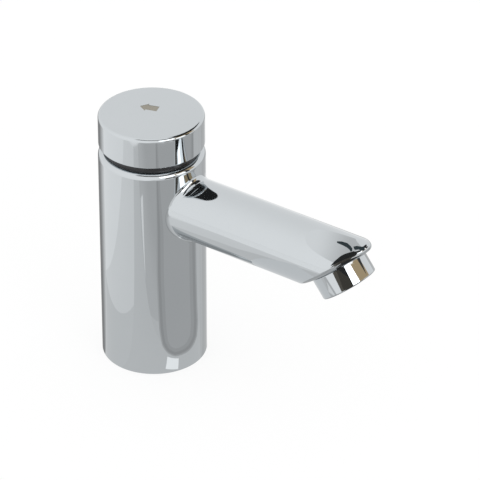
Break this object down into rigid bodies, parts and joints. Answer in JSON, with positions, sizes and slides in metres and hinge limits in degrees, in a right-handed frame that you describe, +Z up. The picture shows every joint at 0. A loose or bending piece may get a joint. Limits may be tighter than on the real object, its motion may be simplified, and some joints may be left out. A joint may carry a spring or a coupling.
{
  "type": "push timed tap",
  "caption": "Upright chrome push tap: round pillar with a press-down cap, a level round spout with an oblique end and a tilted outlet collar, and a spring-return valve inside.",
  "frame": {"origin": "centre of the inlet at the base face", "axes": "+Z up along the pillar, +X along the spout towards the outlet, +Y to the side"},
  "size_m": [0.141, 0.048, 0.1234],
  "materials": {
    "chrome_plate": "polished plate",
    "brass": "machined",
    "steel": "machined",
    "rubber": "matte",
    "black_polymer": "matte",
    "white_polymer": "matte"
  },
  "bodies": {
    "tap": {"body_casting": "chrome_plate", "base_gasket": "rubber", "inlet_strainer": "steel", "strainer_seal": "rubber", "seat_seal": "rubber", "valve_seat": "brass", "cartridge_sleeve": "white_polymer", "sleeve_o_ring": "rubber", "cartridge_cover": "white_polymer", "cover_o_ring": "rubber", "spindle_bush": "brass", "spindle_o_ring": "rubber", "head_nut": "brass", "cap_guide_ring": "black_polymer", "outlet_washer": "rubber", "outlet_collar": "chrome_plate", "flow_regulator": "black_polymer", "flow_straightener": "white_polymer", "outlet_screen": "white_polymer"},
    "button": {"push_cap": "chrome_plate", "spindle": "steel", "spindle_lock_nut": "steel", "piston": "white_polymer", "piston_seal": "rubber", "retaining_ring": "steel", "valve_washer": "rubber", "valve_carrier": "brass", "valve_nut": "brass", "return_spring": "steel"}
  },
  "joints": [
    {"name": "button_press", "type": "slide", "parent": "tap", "child": "button", "axis": [0, 0, -1], "range_m": [0, 0.003], "stiffness_N_per_m": 1200, "springref_m": -0.01, "deforming": ["return_spring"]}
  ]
}
